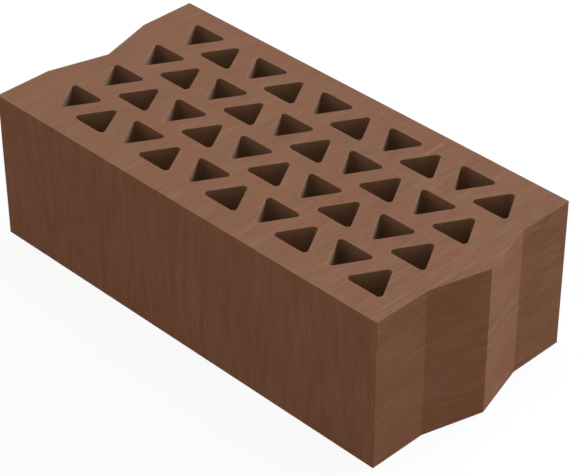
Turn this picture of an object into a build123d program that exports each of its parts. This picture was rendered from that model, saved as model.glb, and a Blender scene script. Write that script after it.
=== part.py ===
import os

from build123d import *

# Overall size in millimetres, lying on a bed face with the cells upright
length = 290  # over the tongue
width = 140
height = 90

# V joint that locks neighbours in a course: a tongue on one end, a like groove in the other
tongue_depth = 10
tongue_width = 70  # across its foot

# Triangular cells: rows across the width, each a run of opposed pairs along the length
row_count = 4
pair_count = 5
cell_corner_radius = 2

# Clay left around the cells
front_shell = 15
back_shell = 13.35
groove_end_shell = 20  # from the flats beside the groove
tongue_end_shell = 11  # from the flats beside the tongue
row_web = 8.35  # between one row and the next
pair_web = 11.5  # along a row, between the two cells of a pair
pitch_web = 13.5  # along a row, between one pair and the next

# Upright outer edges, slightly rounded by the die
arris_radius = 0.5

# Faces and V corners, measured from the middle of the whole brick
groove_face = -length / 2
groove_root = groove_face + tongue_depth
tongue_tip = length / 2
tongue_face = tongue_tip - tongue_depth
front_face = -width / 2
back_face = width / 2
tongue_half = tongue_width / 2

# Cells fill what the shells and webs leave: the triangles of a pair share half a base
row_length = (tongue_face - tongue_end_shell) - (groove_face + groove_end_shell)
web_run = pair_count * pair_web + (pair_count - 1) * pitch_web
half_bases = 2 * pair_count + 1
cell_base = 2 * (row_length - web_run) / half_bases
row_band = width - front_shell - back_shell
cell_depth = (row_band - (row_count - 1) * row_web) / row_count

# Pattern of the cells, which repeats by the pair and by the row
pair_step = cell_base / 2 + pair_web
pair_pitch = cell_base + pair_web + pitch_web
row_pitch = cell_depth + row_web
first_cell = groove_face + groove_end_shell + cell_base / 2
back_cells_middle = first_cell + (pair_count - 1) * pair_pitch / 2
front_cells_middle = back_cells_middle + pair_step
rows_middle = front_face + front_shell + row_band / 2
half_turn = 180

# Fired in one piece: the column of clay leaves the die along Z and is cut to height
with BuildPart() as brick:
    with BuildSketch() as section:
        with BuildLine():
            Polyline(
                (groove_face, front_face),
                (tongue_face, front_face),
                (tongue_face, -tongue_half),
                (tongue_tip, 0),
                (tongue_face, tongue_half),
                (tongue_face, back_face),
                (groove_face, back_face),
                (groove_face, tongue_half),
                (groove_root, 0),
                (groove_face, -tongue_half),
                close=True,
            )
        make_face()
        fillet(section.vertices(), radius=arris_radius)
    extrude(amount=height)

    # The first cell of a pair has its base to the back, the second is turned round
    with BuildSketch() as cells:
        for middle, turn in ((back_cells_middle, 0), (front_cells_middle, half_turn)):
            with Locations((middle, rows_middle)):
                with GridLocations(pair_pitch, row_pitch, pair_count, row_count):
                    Polygon(
                        (-cell_base / 2, cell_depth / 2),
                        (0, -cell_depth / 2),
                        (cell_base / 2, cell_depth / 2),
                        rotation=turn,
                    )
        fillet(cells.vertices(), radius=cell_corner_radius)
    extrude(amount=height, mode=Mode.SUBTRACT)

brick.part.label = "brick"

os.makedirs("parts", exist_ok=True)
export_step(brick.part, "parts/brick.step")
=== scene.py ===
from math import cos, radians, sin

import bmesh
import bpy
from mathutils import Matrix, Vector, kdtree, noise


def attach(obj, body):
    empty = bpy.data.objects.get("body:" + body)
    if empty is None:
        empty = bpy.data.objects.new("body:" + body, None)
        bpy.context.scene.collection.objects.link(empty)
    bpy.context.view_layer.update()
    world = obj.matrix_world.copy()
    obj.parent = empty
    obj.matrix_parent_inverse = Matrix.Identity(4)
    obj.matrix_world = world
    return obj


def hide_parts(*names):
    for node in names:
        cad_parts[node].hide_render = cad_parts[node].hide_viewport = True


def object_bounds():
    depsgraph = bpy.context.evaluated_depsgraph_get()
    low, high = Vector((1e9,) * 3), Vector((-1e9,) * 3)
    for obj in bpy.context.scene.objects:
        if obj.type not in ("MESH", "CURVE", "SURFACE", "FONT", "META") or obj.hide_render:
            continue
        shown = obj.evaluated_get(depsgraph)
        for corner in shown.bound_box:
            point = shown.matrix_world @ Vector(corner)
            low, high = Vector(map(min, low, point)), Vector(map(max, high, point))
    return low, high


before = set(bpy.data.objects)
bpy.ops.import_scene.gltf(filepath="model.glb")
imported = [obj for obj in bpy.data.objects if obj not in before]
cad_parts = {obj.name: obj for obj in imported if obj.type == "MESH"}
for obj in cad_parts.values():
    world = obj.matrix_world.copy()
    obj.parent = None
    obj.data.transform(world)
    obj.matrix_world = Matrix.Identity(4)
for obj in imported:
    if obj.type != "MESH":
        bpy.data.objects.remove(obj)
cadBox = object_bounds()
boxLow, boxHigh = cadBox
mm = 0.001
scene = bpy.context.scene
scene.view_settings.view_transform = "Standard"


# clay body of the brick, cut and softened from a copy of its solid

brickShape = {
    "mergeReach": 0.001 * mm,
    "flatTurn": radians(0.5),     # neighbours flatter than this are one face
    "facing": 0.9,                # share of a normal along the axis that its face looks along
    "outerReach": (14 * mm, 5 * mm),   # walls this near the box's ends and sides are outer faces
    "arris": 0.2 * mm,            # rounding of the wire-cut edges
    "arrisShare": 0.29,           # where the middle loop of an arris lies
    "meshStep": 2.0 * mm,         # spacing of the relief mesh on the outer faces
    "sliver": 0.02 * mm,          # edges shorter than this are closed up
    "cellLevels": (1 * mm, 3 * mm, 8 * mm, 20 * mm),  # cell rings below each bed
    "sharpTurn": radians(15),
    "faceWave": 0.05 * mm,        # slow unevenness of every face
    "faceWaveRun": 30 * mm,
    "dragDepth": 0.05 * mm,       # ridges dragged by the die and the wire
    "dragAcross": 5 * mm,
    "dragAlong": 70 * mm,
    "nibble": 0.25 * mm,          # how far a worn arris steps back
    "nibbleRun": 4 * mm,
    "nibbleFrom": 0.1,            # noise above this nibbles
    "wearReach": 4 * mm,          # width of the worn band along an arris
}
faceKinds = ("bed", "long", "end", "cell")
bedKind, longKind, endKind, cellKind = range(len(faceKinds))   # material index of each kind of face


def mergedCopy(nodeName, shape):
    bm = bmesh.new()
    bm.from_mesh(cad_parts[nodeName].data)
    bmesh.ops.remove_doubles(bm, verts=bm.verts, dist=shape["mergeReach"])
    bmesh.ops.dissolve_limit(bm, angle_limit=shape["flatTurn"], verts=bm.verts, edges=bm.edges)
    return bm


def markKinds(bm, shape):
    for face in bm.faces:
        middle = face.calc_center_median()
        outer = any(abs(middle[i]) > boxHigh[i] - shape["outerReach"][i] for i in (0, 1))
        if abs(face.normal.z) > shape["facing"]:
            face.material_index = bedKind
        elif not outer:
            face.material_index = cellKind
        elif abs(face.normal.y) > shape["facing"]:
            face.material_index = longKind
        else:
            face.material_index = endKind


def softenArris(bm, shape, up):
    # two narrow insets of a bed, then its rim and first ring are let down
    def insetBed(share):
        facing = [f for f in bm.faces if f.normal.z * up > shape["facing"]]
        bed = [f for f in facing if f.material_index == bedKind and f not in ringFaces]
        inset = bmesh.ops.inset_region(bm, faces=bed, thickness=share * shape["arris"],
                                       use_even_offset=True)
        ringFaces.update(inset["faces"])
        return inset["faces"]

    ringFaces = set()
    outerRing = insetBed(shape["arrisShare"])
    insetBed(1 - shape["arrisShare"])
    rim, middle = [], []
    for vert in dict.fromkeys(v for f in outerRing for v in f.verts):
        onWall = any(f.material_index != bedKind for f in vert.link_faces)
        (rim if onWall else middle).append(vert)
    bmesh.ops.translate(bm, verts=rim, vec=(0, 0, -up * shape["arris"]))
    bmesh.ops.translate(bm, verts=middle, vec=(0, 0, -up * shape["arrisShare"] * shape["arris"]))


def cutLines(bm, faces, axis, places):
    # halves the faces at the middle place, then each half at its own middle
    if not places or not faces:
        return
    middle = len(places) // 2
    across = Vector([float(i == axis) for i in range(3)])
    edges = dict.fromkeys(e for f in faces for e in f.edges)
    verts = dict.fromkeys(v for f in faces for v in f.verts)
    cut = bmesh.ops.bisect_plane(bm, geom=[*faces, *edges, *verts], dist=brickShape["mergeReach"],
                                 plane_co=across * places[middle], plane_no=across)
    halves = ([], [])
    for face in cut["geom"]:
        if isinstance(face, bmesh.types.BMFace):
            halves[face.calc_center_bounds()[axis] > places[middle]].append(face)
    cutLines(bm, halves[0], axis, places[:middle])
    cutLines(bm, halves[1], axis, places[middle + 1:])


def meshLines(bm, shape):
    def steps(axis):
        count = round((boxHigh[axis] - boxLow[axis]) / shape["meshStep"])
        step = (boxHigh[axis] - boxLow[axis]) / count
        return [boxLow[axis] + i * step for i in range(1, count)]

    def ofKinds(*kinds):
        return [f for f in bm.faces if f.material_index in kinds]

    for edge in bm.edges:         # marks the bridges between the cells, across the beds
        edge.seam = edge.calc_face_angle() < shape["flatTurn"]
    depths = shape["cellLevels"]
    levels = sorted([boxLow.z + d for d in depths] + [boxHigh.z - d for d in depths])
    cutLines(bm, bm.faces[:], 0, steps(0))
    cutLines(bm, ofKinds(bedKind, endKind), 1, steps(1))
    cutLines(bm, ofKinds(longKind, endKind), 2, steps(2))
    cutLines(bm, ofKinds(cellKind), 2, levels)
    bmesh.ops.dissolve_edges(bm, edges=[e for e in bm.edges if e.seam], use_verts=True)
    bmesh.ops.dissolve_degenerate(bm, dist=shape["sliver"], edges=bm.edges)


def dragNoise(place, kind, shape):
    across, along = shape["dragAcross"], shape["dragAlong"]
    runs = {bedKind: (across, along, along), longKind: (across, along, along),
            endKind: (along, along, across), cellKind: (across, across, along)}[kind]
    return noise.noise(Vector([place[i] / runs[i] for i in range(3)]))


def relieve(bm, shape):
    # presses small waves, drag ridges and worn arrises into the clay, never out of it
    bm.normal_update()
    arrises = [e for e in bm.edges if e.is_convex and e.calc_face_angle(0) > shape["sharpTurn"]]
    worn = {v for e in arrises for v in e.verts}
    tree = kdtree.KDTree(len(worn))
    for i, vert in enumerate(worn):
        tree.insert(vert.co, i)
    tree.balance()
    wearLayer = bm.verts.layers.float.new("wear")
    moves = []
    for vert in bm.verts:
        near = tree.find(vert.co)[2]
        wear = max(0, 1 - near / shape["wearReach"])
        vert[wearLayer] = wear
        if vert in worn:
            bite = noise.noise(vert.co / shape["nibbleRun"]) - shape["nibbleFrom"]
            depth = shape["nibble"] * max(0, bite)
        else:
            wave = noise.noise(vert.co / shape["faceWaveRun"])
            drag = dragNoise(vert.co, vert.link_faces[0].material_index, shape)
            depth = shape["faceWave"] * (1 + wave) / 2 + shape["dragDepth"] * (1 + drag) / 2
            depth *= 1 - wear
        moves.append((vert, vert.normal * depth))
    for vert, move in moves:
        vert.co -= move


def finishMesh(bm, name, shape):
    bm.normal_update()
    for face in bm.faces:
        face.smooth = True
    for edge in bm.edges:
        edge.smooth = edge.calc_face_angle(0) < shape["sharpTurn"]
    mesh = bpy.data.meshes.new(name)
    bm.to_mesh(mesh)
    bm.free()
    piece = bpy.data.objects.new(name, mesh)
    scene.collection.objects.link(piece)
    return piece


def makeBrick(shape):
    bm = mergedCopy("brick", shape)
    markKinds(bm, shape)
    print("brick copy", len(bm.verts), "verts", len(bm.faces), "faces")
    softenArris(bm, shape, 1)
    softenArris(bm, shape, -1)
    print("arris cut", len(bm.verts), "verts", len(bm.faces), "faces")
    meshLines(bm, shape)
    print("mesh lines", len(bm.verts), "verts", len(bm.faces), "faces")
    relieve(bm, shape)
    return finishMesh(bm, "clayBrick", shape)


clayBrick = makeBrick(brickShape)
print("brick mesh", len(clayBrick.data.polygons), "faces",
      sum(len(p.vertices) - 2 for p in clayBrick.data.polygons), "triangles")


# node helpers

def addNode(tree, kind, feeds=None, **settings):
    node = tree.nodes.new(kind)
    for name, value in settings.items():
        setattr(node, name, value)
    for name, value in (feeds or {}).items():
        if isinstance(value, bpy.types.NodeSocket):
            tree.links.new(value, node.inputs[name])
        else:
            node.inputs[name].default_value = value
    return node


def sums(tree, operation, *values):
    return addNode(tree, "ShaderNodeMath", dict(enumerate(values)), operation=operation).outputs[0]


def vectorSums(tree, operation, first, second):
    return addNode(tree, "ShaderNodeVectorMath", {0: first, 1: second}, operation=operation).outputs[0]


def spotMask(tree, value, low, high):
    feeds = {"Value": value, "From Min": low, "From Max": high}
    return addNode(tree, "ShaderNodeMapRange", feeds).outputs["Result"]


def blendColor(tree, factor, first, second):
    feeds = {0: factor, 6: first, 7: second}    # colour sockets of the Mix node
    return addNode(tree, "ShaderNodeMix", feeds, data_type="RGBA").outputs[2]


def noiseValue(tree, vector, scale, detail, roughness=0.5):
    feeds = {"Vector": vector, "Scale": scale, "Detail": detail, "Roughness": roughness}
    return addNode(tree, "ShaderNodeTexNoise", feeds).outputs["Fac"]


def newGroup(name, inputs, outputs):
    group = bpy.data.node_groups.new(name, "ShaderNodeTree")
    for label, kind in inputs.items():
        group.interface.new_socket(label, in_out="INPUT", socket_type=kind)
    for label in outputs:
        group.interface.new_socket(label, in_out="OUTPUT", socket_type="NodeSocketFloat")
    return group, group.nodes.new("NodeGroupInput"), group.nodes.new("NodeGroupOutput")


def putOut(group, outputNode, **values):
    for label, socket in values.items():
        group.links.new(socket, outputNode.inputs[label])


def addGroup(tree, group, **feeds):
    node = addNode(tree, "ShaderNodeGroup", feeds, node_tree=group)
    return {o.name: o for o in node.outputs}


def srgb(red, green, blue):
    def linear(value):
        value /= 255
        return value / 12.92 if value <= 0.04045 else ((value + 0.055) / 1.055) ** 2.4
    return linear(red), linear(green), linear(blue)


noiseMiddle = 0.5                 # a noise texture swings about this


# streaks that the die and the wire drag through the clay

streakSettings = {                # noises as scale, detail and roughness
    "drift": (28.0, 1.0),         # slow wander of the drag
    "broad": (1.0, 2.0),
    "hairs": (3.4, 2.0, 0.6),
    "figure": (1.0, 1.5),
    "figureTurns": 65.0,          # folds the figure's noise into rings
    "patches": (40.0, 2.0),       # calm and streaky stretches
    "patchRange": (0.3, 0.7),
    "patchGain": 1.4,             # how far hairs swell in a streaky stretch
    "patchLeast": 0.3,            # what is left of them in a calm one
    "lines": (1.0, 1.0),
    "lineRange": (0.64, 0.74),    # only the crests of that noise are scratches
}


def dragStreaksGroup(settings):
    inputs = {"Place": "NodeSocketVector", "Grain": "NodeSocketVector", "Figure": "NodeSocketVector",
              "Line": "NodeSocketVector", "Wander": "NodeSocketFloat", "Growth": "NodeSocketFloat"}
    group, given, out = newGroup("dragStreaks", inputs, ("broad", "fine", "figure", "scratch"))
    place = given.outputs["Place"]
    grain = given.outputs["Grain"]
    scale, detail = settings["drift"]
    feeds = {"Vector": place, "Scale": scale, "Detail": detail}
    drift = addNode(group, "ShaderNodeTexNoise", feeds).outputs["Color"]
    drift = vectorSums(group, "SUBTRACT", drift, (noiseMiddle, noiseMiddle, noiseMiddle))
    feeds = {0: drift, "Scale": given.outputs["Wander"]}
    drift = addNode(group, "ShaderNodeVectorMath", feeds, operation="SCALE").outputs[0]
    dragged = vectorSums(group, "ADD", place, vectorSums(group, "DIVIDE", drift, grain))
    drawn = vectorSums(group, "MULTIPLY", dragged, grain)
    lined = vectorSums(group, "MULTIPLY", dragged, given.outputs["Line"])
    figured = vectorSums(group, "MULTIPLY", place, given.outputs["Figure"])

    along = addNode(group, "ShaderNodeSeparateXYZ", {"Vector": place}).outputs["X"]
    lean = sums(group, "MULTIPLY_ADD", along, given.outputs["Growth"], 1.0)    # streakier to the tongue
    patches = spotMask(group, noiseValue(group, place, *settings["patches"]), *settings["patchRange"])
    patches = sums(group, "MULTIPLY_ADD", patches, settings["patchGain"], settings["patchLeast"])
    patches = sums(group, "MULTIPLY", patches, lean)

    bands = sums(group, "SUBTRACT", noiseValue(group, drawn, *settings["broad"]), noiseMiddle)
    broad = sums(group, "MULTIPLY_ADD", bands, lean, noiseMiddle)
    hairs = sums(group, "SUBTRACT", noiseValue(group, drawn, *settings["hairs"]), noiseMiddle)
    fine = sums(group, "MULTIPLY_ADD", hairs, patches, noiseMiddle)
    lines = spotMask(group, noiseValue(group, lined, *settings["lines"]), *settings["lineRange"])
    scratch = sums(group, "MULTIPLY", lines, patches)
    slow = noiseValue(group, figured, *settings["figure"])
    rings = sums(group, "SINE", sums(group, "MULTIPLY", slow, settings["figureTurns"]))
    putOut(group, out, broad=broad, fine=fine, figure=rings, scratch=scratch)
    return group


# clouds, shifts of hue, sandy grain, pale specks and pores of fired clay

mottleSettings = {                # noises as scale, detail and roughness
    "cloud": (34.0, 3.0),
    "hue": (60.0, 3.0),
    "hueRange": (0.2, 0.8),
    "grain": (1500.0, 3.0, 0.6),
    "speck": (780.0, 2.0),
    "speckRange": (0.67, 0.76),
    "pore": (520.0, 3.0),
    "poreRange": (0.70, 0.78),
}


def clayMottleGroup(settings):
    marks = ("cloud", "hue", "grain", "speck", "pore")
    group, given, out = newGroup("clayMottle", {"Place": "NodeSocketVector"}, marks)
    masks = {mark: noiseValue(group, given.outputs["Place"], *settings[mark]) for mark in marks}
    for mark in ("hue", "speck", "pore"):
        masks[mark] = spotMask(group, masks[mark], *settings[mark + "Range"])
    putOut(group, out, **masks)
    return group


# paler clay where an arris is rubbed

wearSettings = {
    "closeness": 4.0,             # power that keeps the wear near the arris
    "breaks": (240.0, 3.0),       # scale and detail of the breaks in the worn band
    "breakRange": (0.35, 0.65),
}


def arrisWearGroup(settings):
    inputs = {"Place": "NodeSocketVector", "Near": "NodeSocketFloat"}
    group, given, out = newGroup("arrisWear", inputs, ("rubbed",))
    close = sums(group, "POWER", given.outputs["Near"], settings["closeness"])
    breaks = noiseValue(group, given.outputs["Place"], *settings["breaks"])
    broken = spotMask(group, breaks, *settings["breakRange"])
    putOut(group, out, rubbed=sums(group, "MULTIPLY", close, broken))
    return group


dragStreaks = dragStreaksGroup(streakSettings)
clayMottle = clayMottleGroup(mottleSettings)
arrisWear = arrisWearGroup(wearSettings)
print("groups", [g.name for g in bpy.data.node_groups])


# fired clay, one finish for each kind of face

def perRun(x, y, z):
    return (1 / (x * mm), 1 / (y * mm), 1 / (z * mm))    # from the run of a pattern in millimetres


clayFinish = {
    "bed": {
        "clay": (119, 81, 56), "roughness": 0.82, "specular": 0.3, "bump": 0.10 * mm,
        "grain": perRun(5.5, 50, 5.5), "line": perRun(1.1, 35, 1.1), "figure": perRun(30, 150, 30),
        "wander": 0.6, "growth": 0.55,
        "broadSwing": 1.35, "fineSwing": 1.6, "figureSwing": 0.14, "cloudSwing": 1.0,
        "rust": 0.8, "scratch": 0.5, "speck": 0.8, "pore": 0.3, "worn": 0.4,
    },
    "long": {
        "clay": (129, 89, 68), "roughness": 0.86, "specular": 0.06, "bump": 0.08 * mm,
        "grain": perRun(5, 5, 65), "line": perRun(1.0, 1.0, 30), "figure": perRun(32, 32, 150),
        "wander": 0.5, "growth": 0.0,
        "broadSwing": 1.1, "fineSwing": 1.5, "figureSwing": 0.18, "cloudSwing": 0.7,
        "rust": 0.75, "scratch": 0.25, "speck": 0.2, "pore": 0.2, "worn": 0.3,
    },
    "end": {
        "clay": (129, 89, 65), "roughness": 0.86, "specular": 0.06, "bump": 0.08 * mm,
        "grain": perRun(55, 55, 8), "line": perRun(35, 35, 1.1), "figure": perRun(120, 120, 28),
        "wander": 0.7, "growth": 0.0,
        "broadSwing": 1.4, "fineSwing": 1.8, "figureSwing": 0.2, "cloudSwing": 1.1,
        "rust": 0.75, "scratch": 0.4, "speck": 0.3, "pore": 0.2, "worn": 0.3,
    },
    "cell": {
        "clay": (132, 100, 79), "roughness": 0.88, "specular": 0.06, "bump": 0.10 * mm,
        "grain": perRun(4, 4, 60), "line": perRun(1.0, 1.0, 30), "figure": perRun(30, 30, 80),
        "wander": 0.8, "growth": 0.0,
        "broadSwing": 0.6, "fineSwing": 0.7, "figureSwing": 0.0, "cloudSwing": 0.4,
        "rust": 0.2, "scratch": 0.0, "speck": 0.1, "pore": 0.2, "worn": 0.0,
    },
}
toneShares = {                    # what each tone keeps of the clay's own colour
    "dark": (0.87, 0.8, 0.74),
    "light": (1.13, 1.2, 1.26),
    "rust": (1.1, 0.86, 0.78),
    "scratch": (1.35, 1.38, 1.45),
    "speck": (1.5, 1.7, 1.9),
    # pore: painted shade, darkening the pits that the bump presses in
    "pore": (0.4, 0.36, 0.34),
    "worn": (1.25, 1.35, 1.45),
}
bumpShares = {"broad": 1.0, "fine": 0.6, "grain": 0.4, "pore": -1.2}   # of a finish's bump depth
roughSwing = 0.12


def clayMaterial(name, finish):
    material = bpy.data.materials.new(name)
    material.use_nodes = True
    tree = material.node_tree
    tree.nodes.clear()
    clay = srgb(*finish["clay"])
    tones = {t: (*(c * s for c, s in zip(clay, shares)), 1) for t, shares in toneShares.items()}
    place = addNode(tree, "ShaderNodeTexCoord").outputs["Object"]
    near = addNode(tree, "ShaderNodeAttribute", attribute_name="wear").outputs["Fac"]
    streaks = addGroup(tree, dragStreaks, Place=place, Grain=finish["grain"], Figure=finish["figure"],
                       Line=finish["line"], Wander=finish["wander"], Growth=finish["growth"] / boxHigh.x)
    mottle = addGroup(tree, clayMottle, Place=place)
    rubbed = addGroup(tree, arrisWear, Place=place, Near=near)["rubbed"]

    swings = {"broadSwing": (streaks["broad"], noiseMiddle), "fineSwing": (streaks["fine"], noiseMiddle),
              "figureSwing": (streaks["figure"], 0.0), "cloudSwing": (mottle["cloud"], noiseMiddle)}
    tone = 0.5                                    # halfway from dark to light
    for swing, (socket, middle) in swings.items():
        shifted = sums(tree, "SUBTRACT", socket, middle)
        tone = sums(tree, "MULTIPLY_ADD", shifted, finish[swing], tone)
    color = blendColor(tree, tone, tones["dark"], tones["light"])
    # the pore tone paints shade into the pits
    masks = {"rust": mottle["hue"], "scratch": streaks["scratch"], "speck": mottle["speck"],
             "pore": mottle["pore"], "worn": rubbed}
    for share, mask in masks.items():
        color = blendColor(tree, sums(tree, "MULTIPLY", mask, finish[share]), color, tones[share])

    height = 0.0
    for mask, share in bumpShares.items():
        source = streaks if mask in streaks else mottle
        height = sums(tree, "MULTIPLY_ADD", source[mask], share, height)
    bump = addNode(tree, "ShaderNodeBump", {"Height": height, "Distance": finish["bump"]})
    rough = sums(tree, "MULTIPLY_ADD", mottle["grain"], roughSwing, finish["roughness"] - roughSwing / 2)
    shader = addNode(tree, "ShaderNodeBsdfPrincipled",
                     {"Base Color": color, "Roughness": rough, "Normal": bump.outputs[0],
                      "Specular IOR Level": finish["specular"]})
    addNode(tree, "ShaderNodeOutputMaterial", {"Surface": shader.outputs[0]})
    return material


for kindName in faceKinds:
    clayBrick.data.materials.append(clayMaterial(kindName + "Clay", clayFinish[kindName]))
print("materials", [m.name for m in clayBrick.data.materials])
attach(clayBrick, "root")
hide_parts("brick")


# studio: pale floor with a darker patch of painted shade under the brick, white surround and soft lamps

studio = {
    "floorSize": 8.0,
    "floorDrop": 0.2 * mm,
    "floorTone": 0.25,            # what the floor throws back at the brick
    "floorGlow": 0.2,             # soft light of the table itself
    "floorSeen": 0.1,             # share of the seen floor that takes light and shadow
    "underInset": 12 * mm,        # from the brick's box to the darker floor patch under it, painted shade that only its cells show
    "ambient": 0.3,
    "ambientTint": (1.0, 0.96, 0.86),
}
lamps = {                         # bearing turns from the back towards the right-hand end
    "backKey": {"bearing": radians(8.5), "rise": radians(12), "spread": radians(60), "strength": 4.9,
                "tint": (1.0, 1.24, 1.48)},
    "overhead": {"bearing": 0, "rise": radians(90), "spread": radians(60), "strength": 1.05,
                 "tint": (1.0, 0.97, 0.92)},
    "frontFill": {"bearing": radians(180), "rise": radians(20), "spread": radians(80), "strength": 0.43,
                  "tint": (1.0, 0.97, 0.88)},
}


def whiteRays(tree):
    path = addNode(tree, "ShaderNodeLightPath")
    seen = sums(tree, "MAXIMUM", path.outputs["Is Camera Ray"], path.outputs["Is Glossy Ray"])
    return sums(tree, "MAXIMUM", seen, path.outputs["Is Transmission Ray"])


def floorMaterial(name, tone, glow, seen, lift):
    material = bpy.data.materials.new(name)
    material.use_nodes = True
    tree = material.node_tree
    tree.nodes.clear()
    sides = []
    for grey, light in ((tone, glow), (seen, lift)):
        matt = addNode(tree, "ShaderNodeBsdfDiffuse", {"Color": (grey, grey, grey, 1)}).outputs[0]
        lit = addNode(tree, "ShaderNodeEmission", {"Color": (1, 1, 1, 1), "Strength": light}).outputs[0]
        sides.append(addNode(tree, "ShaderNodeAddShader", {0: matt, 1: lit}).outputs[0])
    mixed = addNode(tree, "ShaderNodeMixShader", {0: whiteRays(tree), 1: sides[0], 2: sides[1]}).outputs[0]
    addNode(tree, "ShaderNodeOutputMaterial", {"Surface": mixed})
    return material


def makeFloor(settings):
    bm = bmesh.new()
    bmesh.ops.create_grid(bm, x_segments=1, y_segments=1, size=settings["floorSize"] / 2)
    bmesh.ops.translate(bm, verts=bm.verts, vec=(0, 0, boxLow.z - settings["floorDrop"]))
    inset = settings["underInset"]
    for axis in (0, 1):
        cutLines(bm, bm.faces[:], axis, [boxLow[axis] + inset, boxHigh[axis] - inset])
    # faces under the brick take the second material, a darker floor without lift or glow: painted shade
    # seen through the cells
    for face in bm.faces:
        middle = face.calc_center_bounds()
        face.material_index = all(abs(middle[i]) < boxHigh[i] - inset for i in (0, 1))
    mesh = bpy.data.meshes.new("paleFloor")
    bm.to_mesh(mesh)
    bm.free()
    tone, glow, seen = settings["floorTone"], settings["floorGlow"], settings["floorSeen"]
    mesh.materials.append(floorMaterial("paleFloor", tone, glow, seen, 1 - seen))
    # painted shade under the brick: a plain dark floor with no lift and no glow
    mesh.materials.append(floorMaterial("floorUnderShade", tone, 0.0, tone, 0.0))
    floor = bpy.data.objects.new("paleFloor", mesh)
    scene.collection.objects.link(floor)


def makeSurround(settings):
    world = bpy.data.worlds.new("whiteSurround")
    scene.world = world
    world.use_nodes = True
    tree = world.node_tree
    tree.nodes.clear()
    dim = [settings["ambient"] * c for c in settings["ambientTint"]]
    color = blendColor(tree, whiteRays(tree), (*dim, 1), (1, 1, 1, 1))
    shader = addNode(tree, "ShaderNodeBackground", {"Color": color, "Strength": 1.0})
    addNode(tree, "ShaderNodeOutputWorld", {"Surface": shader.outputs[0]})


def makeLamp(name, settings):
    lamp = bpy.data.lights.new(name, "SUN")
    lamp.energy = settings["strength"]
    lamp.angle = settings["spread"]
    lamp.color = settings["tint"]
    turn, rise = settings["bearing"], settings["rise"]
    source = Vector((sin(turn) * cos(rise), cos(turn) * cos(rise), sin(rise)))
    holder = bpy.data.objects.new(name, lamp)
    holder.rotation_euler = source.to_track_quat("Z", "Y").to_euler()
    scene.collection.objects.link(holder)


makeFloor(studio)
makeSurround(studio)
for lampName, lampSettings in lamps.items():
    makeLamp(lampName, lampSettings)
print("studio ready")


# camera at the photograph's viewing angle

viewpoint = {
    "azimuth": radians(45.375),
    "elevation": radians(35.85),
    "roll": radians(-0.185),
    "aim": (3.71 * mm, 2.97 * mm, 34.31 * mm),
    "distance": 1186.2 * mm,
    "lens": 138.88,
}


def makeCamera(settings):
    turn, rise = settings["azimuth"], settings["elevation"]
    back = Vector((sin(turn) * cos(rise), -cos(turn) * cos(rise), sin(rise)))
    data = bpy.data.cameras.new("photoView")
    data.lens = settings["lens"]
    camera = bpy.data.objects.new("photoView", data)
    camera.location = Vector(settings["aim"]) + back * settings["distance"]
    camera.rotation_euler = (radians(90) - rise, 0, turn)
    camera.rotation_euler.rotate_axis("Z", settings["roll"])
    scene.collection.objects.link(camera)
    scene.camera = camera


makeCamera(viewpoint)
print("camera ready")
